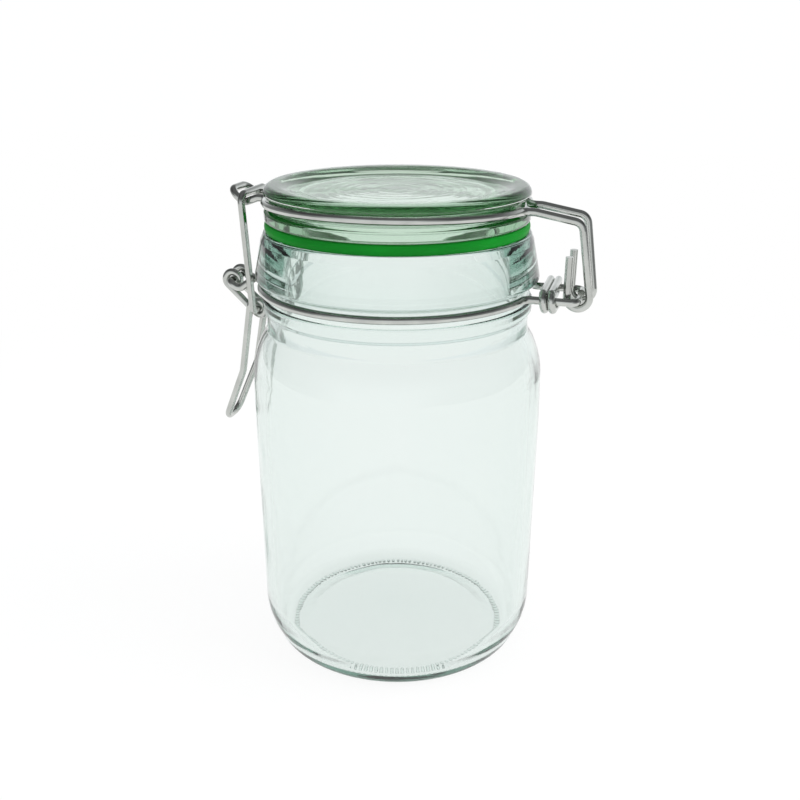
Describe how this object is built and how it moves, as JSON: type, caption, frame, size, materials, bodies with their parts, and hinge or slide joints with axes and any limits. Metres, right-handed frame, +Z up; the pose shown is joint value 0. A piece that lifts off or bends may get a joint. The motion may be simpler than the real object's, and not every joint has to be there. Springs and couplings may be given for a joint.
{
  "type": "clip-top glass storage jar",
  "caption": "Round glass storage jar with a glass lid, a rubber ring and a wire latch and hinge, closed and empty.",
  "frame": {"origin": "on the jar's axis, in the plane of the surface that it stands on", "axes": "+Z up the jar's axis, +X towards the hinge, -X towards the latch"},
  "size_m": [0.1384, 0.105, 0.1744],
  "materials": {
    "jar_glass": "clear pressed glass, smooth, with a faint green tint",
    "lid_glass": "clear pressed glass, smooth, with a faint green tint",
    "green_rubber": "moulded rubber, satin",
    "bright_wire": "plated spring wire, bright"
  },
  "bodies": {
    "jar_body": {"jar": "jar_glass", "neck_wire": "bright_wire", "tie": "bright_wire"},
    "lid_body": {"lid": "lid_glass", "gasket": "green_rubber", "lid_wire": "bright_wire"},
    "lever_body": {"lever": "bright_wire"},
    "link_body": {"link": "bright_wire"}
  },
  "joints": [
    {"name": "lid_hinge", "type": "hinge", "parent": "jar_body", "child": "lid_body", "pos_m": [0.0642, 0, 0.1398], "axis": [0, 1, 0], "range_deg": [0, 190]},
    {"name": "lever_pivot", "type": "hinge", "parent": "jar_body", "child": "lever_body", "pos_m": [-0.0618, 0, 0.1376], "axis": [0, 1, 0], "range_deg": [0, 125]},
    {"name": "link_pivot", "type": "hinge", "parent": "lever_body", "child": "link_body", "pos_m": [-0.0514, 0, 0.1283], "axis": [0, 1, 0], "range_deg": [-152.5, 0]}
  ],
  "couplings": [
    {"joint": "lever_pivot", "follows": "lid_hinge", "ratio": 0.6578},
    {"joint": "link_pivot", "follows": "lid_hinge", "ratio": -0.8026}
  ]
}
